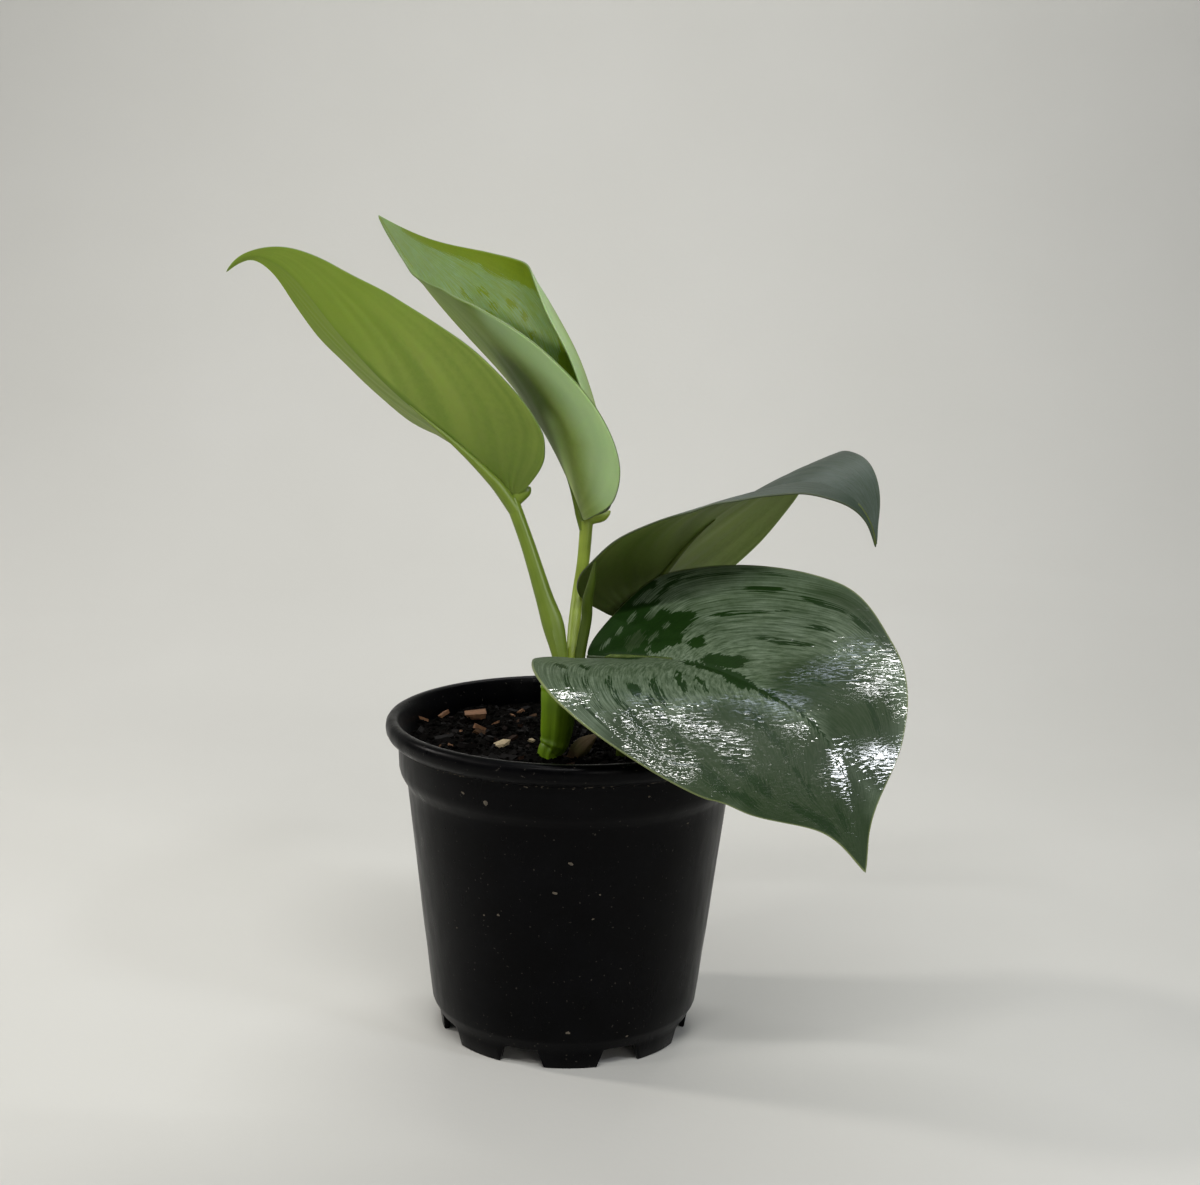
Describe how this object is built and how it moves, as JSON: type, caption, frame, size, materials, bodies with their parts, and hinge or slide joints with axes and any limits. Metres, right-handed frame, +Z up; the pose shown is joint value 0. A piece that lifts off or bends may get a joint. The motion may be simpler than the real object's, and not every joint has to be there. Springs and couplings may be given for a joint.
{
  "type": "satin pothos in a nursery pot",
  "caption": "Young satin pothos with silvery heart-shaped leaves on a short stem, standing in soil in a round black plastic nursery pot.",
  "frame": {"origin": "on the ground, under the middle of the whole plant's bounding box; the pot's axis stands 7.4 mm to +X and 9.0 mm to +Y of it", "axes": "+Z up, the pot's axis is parallel to Z; the plant's front, where the lowest leaf reaches forward, faces -Y"},
  "size_m": [0.19, 0.1324, 0.2317],
  "materials": {
    "pot_plastic": "moulded black polypropylene, satin, slightly dusty",
    "potting_soil": "dark moist potting mix with bark bits and perlite",
    "stem_green": "fleshy green stalk, slightly glossy",
    "dry_sheath": "dry papery tan sheath",
    "leaf_satin": "satin leaf blade, silver marks on dark green"
  },
  "bodies": {
    "root": {"pot": "pot_plastic", "soil": "potting_soil", "main_stem": "stem_green", "dry_sheath": "dry_sheath", "petiole_left": "stem_green", "petiole_centre": "stem_green", "petiole_back": "stem_green", "petiole_front": "stem_green", "leaf_sheath": "stem_green", "leaf_left": "leaf_satin", "leaf_centre": "leaf_satin", "leaf_back": "leaf_satin", "leaf_front": "leaf_satin"}
  },
  "joints": []
}
